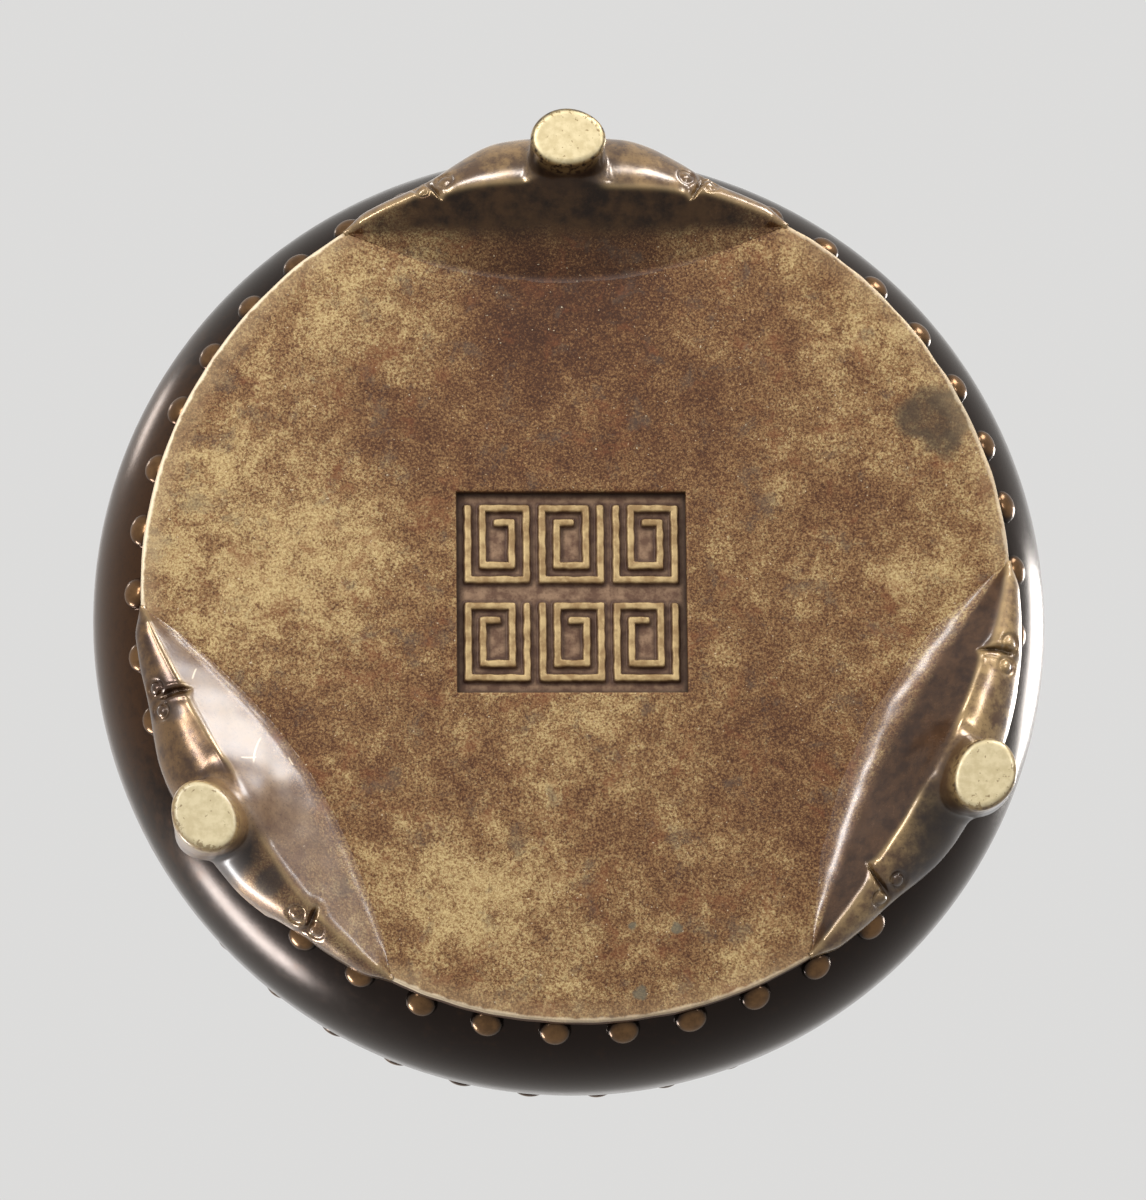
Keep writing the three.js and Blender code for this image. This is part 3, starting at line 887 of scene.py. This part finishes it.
# The base: its ground from dark to light, and what lies on it
GROUND = (
    (0, rgb(62, 38, 26)), (0.3, rgb(92, 60, 38)), (0.5, rgb(122, 90, 58)),
    (0.7, rgb(146, 113, 76)), (1, rgb(178, 148, 104)),
)
GOLD = (rgb(164, 136, 90), rgb(206, 184, 132))
SPECK = rgb(54, 34, 24)
RUST = rgb(118, 70, 44)
SMUDGE = rgb(84, 72, 62)
FLECK = rgb(224, 208, 176)
STAIN = rgb(68, 56, 44)
STAIN_PLACE = (60.5, -29.5)
SPOT = rgb(98, 96, 82)
SPOTS = ((9.5, 66.8, 1.5), (15.6, 56.2, 1.2), (8.3, 55.7, 1.0))  # x, y, radius
# The rubbed edge and the rim: partly wear, partly painted sheen and highlight
RUBBED_AND_SHEEN = rgb(182, 158, 122)
RIM_WEAR_AND_HIGHLIGHT = rgb(232, 214, 184)
PLATE_SIDE = rgb(70, 48, 32)

# Where the base is more golden, or with a minus redder: x, y, reach, amount
AREAS = (
    (-52, -8, 30, 0.2), (-34, -8, 21, 0.2), (-46, -36, 27, 0.06),
    (-28, -52, 21, 0.34), (-10, 54, 24, 0.32), (26, -56, 13.5, 0.14),
    (52, -46, 15, 0.1), (62, 0, 18, 0.1), (18, -42, 10.5, 0.16),
    (-60, 12, 18, 0.14), (35.8, -54.8, 9, 0.2), (43.6, -43, 10.5, 0.16),
    (64, -14, 12, 0.14), (30, -50, 27, -0.16), (-30, -40, 30, -0.1),
    (4, -50, 21, -0.5), (-8, -42, 18, -0.26), (0, -40, 51, -0.14),
    (22, -30, 21, -0.22), (8, -24, 24, -0.14), (34, 30, 30, -0.14),
    (40, -8, 24, -0.2), (-2, 34, 18, -0.06), (-22, 24, 21, -0.08),
)


def patina(graph):
    """The base's colour: a brown ground worn to gold in patches, under specks, rust, smudges and flecks."""
    tone = graph.noise(24, 5, 0.6, 0.5, (3, 11, 0)).centred(1.1)
    patches = graph.noise(4.5, 7, 0.7, 0.5)
    grain = graph.noise(0.42, 3, 0.75)
    dust = graph.noise(0.34, 2, 0.7, 0, (5, 2, 1))
    fine = graph.noise(0.24, 2, 0.7, 0, (9, 4, 0))
    for x, y, reach, amount in AREAS:
        tone = tone + graph.spot(x, y, reach) * amount
    level = tone * 0.6 + 0.46 + patches.centred(0.7) + (grain.centred(1.9) + fine.centred(1.0))
    graph.colour = graph.ramp(level, GROUND)
    wear = tone * 1.3 + patches.centred(1.8) + dust.centred(2.5)
    graph.paint(wear.step(0.10, 0.50, 0.0, 0.68), graph.blend(grain.step(0.38, 0.58), *GOLD))
    graph.paint((dust + grain * 0.4).step(0.82, 0.92, 0.0, 0.55), SPECK)
    rust = graph.noise(6, 5, 0.7, 0.4, (13, 7, 0))
    graph.paint(rust.step(0.54, 0.68, 0.0, 0.45), RUST)
    smudges = graph.noise(7, 5, 0.72, 0.3, (2, 17, 0))
    graph.paint(smudges.step(0.54, 0.68, 0.0, 0.5), SMUDGE)
    flecks = graph.noise(0.5, 1, 0.5, 0, (1, 8, 3))
    graph.paint(flecks.step(0.755, 0.80, 0.0, 0.65), FLECK)
    return grain, patches


def base_material():
    graph = Graph("Base patina")
    grain, patches = patina(graph)
    ring = graph.distance(*STAIN_PLACE) + graph.noise(6, 3).centred(9.0)
    stain = ring.step(7.5, 5.0) * graph.noise(3, 3, 0.6).step(0.35, 0.6, 0.7, 1.0)
    graph.paint(stain * 0.88, STAIN)
    for x, y, size in SPOTS:
        edge = graph.distance(x, y) + graph.noise(1.2).centred(1.6)
        graph.paint(edge.step(size, size * 0.5) * 0.7, SPOT)
    # The edge is rubbed, and painted paler still as a sheen and a bright rim highlight, most of all at the left
    radius = graph.distance(0.0, 0.0)
    left = graph.axis(0).step(10.0, -60.0, 0.5, 1.0)
    rubbed = (radius + patches.centred(5.0)).step(66.5, 71.4)
    graph.paint(rubbed * left * 0.4, RUBBED_AND_SHEEN)
    rim = (radius + patches.centred(1.6)).step(70.7, 71.15)
    graph.paint(rim * left * 0.9, RIM_WEAR_AND_HIGHLIGHT)
    graph.paint(graph.axis(2).step(STAND + 0.3, STAND + 0.9), PLATE_SIDE)
    graph.bump(grain * 0.5 + patches * 0.7, 0.22, 0.25)
    return graph.surface(0.5 + grain.centred(0.3), 0.25, **{"Specular IOR Level": 0.22})


def wall_material():
    """Dark bronze, painted lighter and browner at the left as the side the light falls on, with rubbed gilt tops on
    the bosses whose darker feet are painted shade.
    """
    graph = Graph("Dark bronze")
    clouds = graph.noise(18, 4, 0.55, 0.5)
    mottle = graph.noise(2.6, 5, 0.7)
    speck = graph.noise(0.5, 2, 0.6)
    # Painted light: the wall grows lighter and browner towards the left, the side that the light falls on
    brown = (graph.distance(-84.0, -8.0) + clouds.centred(40.0)).step(70.0, 10.0)
    share = (brown * 0.8 + mottle.centred(1.2)).step(0.0, 0.9)
    graph.colour = graph.blend(share, rgb(30, 20, 15), rgb(66, 42, 23))
    graph.paint(speck.step(0.58, 0.7, 0.0, 0.4), rgb(26, 19, 17))
    # Rubbed gilt on the bosses' tops; their darker feet, where they meet the wall, are painted shade
    gilt_and_foot_shade = graph.layer("boss").step(0.7, 0.98) * mottle.step(0.36, 0.6, 0.6, 1.0)
    graph.paint(gilt_and_foot_shade, rgb(114, 84, 54))
    graph.bump(mottle * 0.6 + speck * 0.3, 0.05, 0.2)
    gloss = {"Specular IOR Level": 0.35, "Specular Tint": (0.74, 0.71, 0.68, 1.0)}
    return graph.surface(0.16 + mottle * 0.12, 0.62, **gloss)


# Dark patches on the feet's lips: painted shade beside the posts and under the wings, and one small smudge
PAINTED_SHADE_PATCH = rgb(34, 24, 20)
FOOT_SPECK = rgb(58, 38, 26)
# A painted highlight along the crests' edges
CREST_HIGHLIGHT = rgb(190, 162, 116)
SCRATCH = rgb(226, 206, 176)
SHOULDER = rgb(180, 154, 104)
# Painted shade in the cut between a wing's lobes
GROOVE_SHADE = rgb(46, 30, 22)
SOLE = (rgb(190, 174, 135), rgb(206, 191, 153))
HOLE = rgb(120, 98, 62)


def foot_material(
    name, hollow, lip, side, metal, lip_metal, shine, coat,
    crease=0.0, soft=0.0, fade=0.3, bare=(), patches=(), dull=(), scratches=(),
):
    """One foot's finish.

    hollow, lip and side are its colours, the hollow's and the side's with painted light and shade in them, and
    patches are dark places of painted shade. metal and lip_metal say how metallic the hollow and the lip are, crease
    how much of that is lost beside the base, and fade how far up the hollow the base's patina reaches.
    """
    graph = Graph(name)
    clouds = graph.noise(9, 4, 0.6, 0.5)
    mottle = graph.noise(2.2, 4, 0.65)
    speck = graph.noise(0.5, 2, 0.65)
    pits = graph.noise(0.9, 2, 0.6, 0.3, (7, 3, 2))
    tone = clouds * 0.5 + mottle * 0.5
    on_lip, apron, sole, post = (graph.layer(layer) for layer in ("lip", "apron", "sole", "post"))
    patina(graph)
    base = graph.colour
    # Painted light and shade: the hollow's colour is dark on the front and right feet and lighter on the left, as
    # each lay to the light
    graph.colour = graph.blend(tone.step(0.36, 0.64), *hollow)
    graph.paint(on_lip, graph.blend(tone.step(0.38, 0.62), *lip))
    shallow = (graph.layer("deep") + mottle.centred(0.25)).step(fade, 0.02)
    for x, y, near, far, share in bare:
        shallow = shallow.most((graph.distance(x, y) + tone.centred(14.0)).step(near, far, 0.0, share))
    graph.paint(shallow, base)
    # Painted light and shade: the post's side is darkest on the front foot and lightest on the left
    graph.paint(post * tone.step(0.35, 0.65, 0.45, 0.85), side)
    crust = post * 0.2
    # Painted shade: dark patches on the lips where the posts and wings shade them, and one small smudge
    for x, y, reach, share in patches:
        patch = (graph.distance(x, y) + tone.centred(0.6 * reach)).step(reach, 0.5 * reach) * share * on_lip
        graph.paint(patch, PAINTED_SHADE_PATCH)
        crust = crust.most(patch * 0.35)
    graph.paint(speck.step(0.56, 0.68, 0.0, 0.45), FOOT_SPECK)
    # Painted highlight along each crest's edge
    graph.paint(graph.layer("crest") * 0.4, CREST_HIGHLIGHT)
    for mark in scratches:
        graph.paint(graph.scratch(*mark) * 0.7, SCRATCH)
    shoulder = graph.layer("shoulder")
    graph.paint(shoulder * pits.step(0.35, 0.55) * 0.6, SHOULDER)
    # Painted shade darkens the cut between each wing's lobes
    graph.paint(graph.layer("groove") * 0.6, GROOVE_SHADE)
    hole = (pits + graph.layer("brink") * 0.14).step(0.66, 0.71)
    worn = graph.blend(graph.noise(1.6, 4, 0.6).step(0.35, 0.65), *SOLE)
    graph.paint(sole, graph.blend(hole * 0.75, worn, HOLE))
    matte = (apron * 0.25).most(sole * 0.3).most(crust).most(on_lip.step(0.3, 0.0, 0.0, soft))
    for x, y, reach, amount in dull:
        matte = matte.most(graph.spot(x, y, reach) * amount)
    metallic = apron.step(0.0, 1.0, metal, 0.25) - shallow * crease
    metallic = metallic + (lip_metal - metallic) * on_lip
    graph.bump(mottle * 0.6 + speck * 0.25 - hole * sole.most(shoulder) * 1.2, 0.12, 0.25)
    gloss = {"Specular IOR Level": shine, "Coat Weight": coat, "Coat Roughness": 0.16 + 0.8 * soft}
    return graph.surface(0.17 + mottle * 0.12 + matte, metallic, **gloss)


def tablet_material():
    graph = Graph("Tablet")
    mottle = graph.noise(1.8, 4, 0.6)
    speck = graph.noise(0.4, 2, 0.6)
    graph.colour = graph.blend(mottle.step(0.35, 0.65), rgb(96, 70, 54), rgb(142, 114, 90))
    graph.paint(speck.step(0.58, 0.7, 0.0, 0.5), rgb(84, 58, 44))
    # Painted shade along the foot of the raised frets
    graph.paint(graph.layer("relief_shade") * 0.7, rgb(58, 36, 28))
    top = graph.blend(mottle.step(0.35, 0.65), rgb(142, 114, 76), rgb(186, 160, 114))
    graph.paint(graph.layer("relief").step(0.55, 0.95), top)
    # Painted shade: the tablet darkens towards its border, under the window's edge
    past_x = abs(graph.axis(0) - WINDOW_X) - WINDOW_W / 2
    past_y = abs(graph.axis(1) - WINDOW_Y) - WINDOW_D / 2
    corner = past_x.most(past_y) + mottle * 0.8
    graph.paint(corner.step(-0.9, 0.5, 0.0, 0.85), rgb(40, 26, 22))
    graph.bump(mottle * 0.7 + speck * 0.4, 0.25, 0.25)
    return graph.surface(0.5, 0.3, **{"Specular IOR Level": 0.35})


# The stage: the floor, the background, the camera and the lamps

FLOOR_GAP = 0.1  # millimetres, so that the soles don't lie in the floor's own plane
FLOOR_RINGS = (60, 120, 240, 480, 960, 2400)
FLOOR_TURNS = 96
AMBIENT = 0.24
BACKGROUND = 0.72
CAMERA_YAW = 0.049
CAMERA_PITCH = -0.201
CAMERA_REACH = 1.0
CAMERA_LENS = 186.7
CAMERA_SHIFT = (0.0027, 0.0177)
LAMP_AIM = Vector((0, 0, 0.035))
LAMP_GAIN = 4  # turns a lamp's brightness and area into its power

# name, azimuth, elevation, width, height, radiance, distance in metres where it isn't 1
LAMPS = (
    ("Right box", -10, 46, 0.26, 0.38, 16, 2.5),
    ("Left box", -141, 41, 0.12, 0.11, 9, 2.5),
    ("Lower left box", 142, 27, 0.34, 0.17, 34, 2.5),
    ("Upper right", -50, -9, 0.24, 0.4, 14),
    ("Key", -149, -46, 0.26, 0.16, 22),
    ("Low front left", -117, -50, 0.16, 0.18, 22),
    ("Low front right", -63, -35, 0.16, 0.18, 22),
    ("Low right", -18, -41, 0.22, 0.13, 18),
    ("Low left", -174, -46, 0.15, 0.14, 24),
    ("Top", -60, 80, 0.8, 0.8, 0.3, 2.5),
)


def make_floor():
    """A pale floor, seen from above, that leaves the light and the view from below alone."""
    outline = [(radius, -FLOOR_GAP) for radius in FLOOR_RINGS]
    points = np.concatenate([spun(outline, FLOOR_TURNS), [[0, 0, -FLOOR_GAP]]])
    quads = loops_to_faces(len(outline), FLOOR_TURNS, closed=False)
    piece = to_mesh("floor", points, quads[:, ::-1], fan(np.arange(FLOOR_TURNS), len(points) - 1))
    material = bpy.data.materials.new("Pale floor")
    tree = clear_tree(material)
    diffuse = add_node(tree, "ShaderNodeBsdfDiffuse", (0.8, 0.8, 0.79, 1))
    clear = add_node(tree, "ShaderNodeBsdfTransparent")
    side = add_node(tree, "ShaderNodeNewGeometry").outputs["Backfacing"]
    mix = add_node(tree, "ShaderNodeMixShader", side, diffuse.outputs[0], clear.outputs[0])
    add_node(tree, "ShaderNodeOutputMaterial", mix.outputs[0])
    piece.data.materials.append(material)
    for ray in ("diffuse", "glossy", "transmission", "shadow"):
        setattr(piece, f"visible_{ray}", False)


def make_world():
    """A pale background, seen and reflected, and a dimmer light for matte surfaces."""
    world = bpy.data.worlds.new("Studio")
    bpy.context.scene.world = world
    tree = clear_tree(world)
    rays = add_node(tree, "ShaderNodeLightPath").outputs
    seen = add_node(tree, "ShaderNodeMath", rays["Is Camera Ray"], rays["Is Glossy Ray"], operation="MAXIMUM")
    shown = add_node(tree, "ShaderNodeMath", seen.outputs[0], rays["Is Transmission Ray"], operation="MAXIMUM")
    dim = add_node(tree, "ShaderNodeBackground", (1, 0.98, 0.95, 1), AMBIENT)
    pale = add_node(tree, "ShaderNodeBackground", (1, 0.995, 0.985, 1), BACKGROUND)
    mix = add_node(tree, "ShaderNodeMixShader", shown.outputs[0], dim.outputs[0], pale.outputs[0])
    add_node(tree, "ShaderNodeOutputWorld", mix.outputs[0])


def make_camera():
    """The photograph's view, from under the vessel and leaning a little."""
    camera = add_object("Camera", bpy.data.cameras.new("Camera"))
    bpy.context.scene.camera = camera
    lean = Matrix.Rotation(CAMERA_YAW, 3, "Y") @ Matrix.Rotation(CAMERA_PITCH, 3, "X")
    basis = Matrix.Diagonal((1, -1, -1)) @ lean.transposed()
    place = basis @ Vector((0, 0, CAMERA_REACH)) + Vector((0, 0, BELLY_Z * MM))
    camera.matrix_world = Matrix.Translation(place) @ basis.to_4x4()
    camera.data.sensor_fit = "HORIZONTAL"
    camera.data.sensor_width = 36
    camera.data.lens = CAMERA_LENS
    camera.data.shift_x, camera.data.shift_y = CAMERA_SHIFT
    camera.data.clip_start = 0.05


def softbox(name, azimuth, elevation, width, height, radiance, distance=1.0):
    """A flat lamp that faces the vessel from a direction in degrees, with its size per metre away."""
    a, e = math.radians(azimuth), math.radians(elevation)
    direction = Vector((math.cos(e) * math.cos(a), math.cos(e) * math.sin(a), math.sin(e)))
    lamp = bpy.data.lights.new(name, "AREA")
    lamp.shape = "RECTANGLE"
    lamp.size = width * distance
    lamp.size_y = height * distance
    lamp.energy = radiance * lamp.size * lamp.size_y * LAMP_GAIN
    item = add_object(name, lamp)
    item.location = direction * distance + LAMP_AIM
    item.rotation_euler = (-direction).to_track_quat("-Z", "Y").to_euler()
    item.visible_camera = False


bpy.context.scene.view_settings.view_transform = "Standard"
make_floor()
make_world()
make_camera()
for lamp in LAMPS:
    softbox(*lamp)

dark_bronze = wall_material()
make_wall(dark_bronze)
low_row, high_row = boss_bearings()
make_hoop("lower", PLATE_TOP, LOW_HOOP_TOP, LOW_ROW_Z, LOW_ROW_TILT, low_row, 21, dark_bronze)
make_hoop("upper", HIGH_HOOP_BOTTOM, RING_BOTTOM, HIGH_ROW_Z, 0.0, high_row, 22, dark_bronze)
make_ring(dark_bronze)
make_plate(base_material())
make_tablet(tablet_material())

# Each foot's finish. Its hollow and side colours are lit and shaded copies of one bronze: painted shade darkens the
# front and right hollows and the front post's side, and painted light makes the left ones lighter. Its places start
# with x and y. After them come near, far and share of bare places, reach and share of dark patches of painted shade,
# reach and amount of dull places, and bearing and length of scratches.
FINISHES = {
    "front": dict(
        hollow=(rgb(32, 21, 13), rgb(70, 49, 29)),
        lip=(rgb(84, 60, 38), rgb(142, 112, 72)), side=rgb(52, 37, 26),
        metal=0.9, lip_metal=0.2, shine=0.8, coat=0.2, fade=0.6,
        bare=((-1.5, -62, 23, 39, 0.62),),
    ),
    "right": dict(
        hollow=(rgb(48, 29, 17), rgb(82, 56, 35)),
        lip=(rgb(92, 66, 44), rgb(158, 130, 88)), side=rgb(104, 80, 52),
        metal=0.38, crease=0.32, lip_metal=0.38, shine=0.35, coat=0.48, soft=0.03,
        patches=((65, 43, 17, 0.92), (54, 53, 8, 0.5)),
        dull=((68, -2, 26, 0.3),),
    ),
    "left": dict(
        hollow=(rgb(90, 64, 48), rgb(128, 102, 76)),
        lip=(rgb(66, 43, 27), rgb(118, 88, 54)), side=rgb(130, 102, 66),
        metal=0.05, lip_metal=0.6, shine=0.5, coat=0.5, soft=0.1,
        bare=((-63, 12, 24, 44, 0.65),),
        patches=((-56.4, 44.9, 5.4, 0.95), (-50.4, 49.4, 3, 0.8), (-66.2, 21.4, 2.2, 0.6)),
        dull=((-60, 50, 15, 0.4),),
        scratches=((-52.7, 27.3, 104, 5.4), (-53.8, 28.9, -7, 2.8), (-62.7, 14.6, 107, 2.4), (-47, 28.7, 60, 1.8)),
    ),
}
for place, foot in FEET.items():
    make_foot(f"{place}_foot", foot, foot_material(f"Foot {place}", **FINISHES[place]))
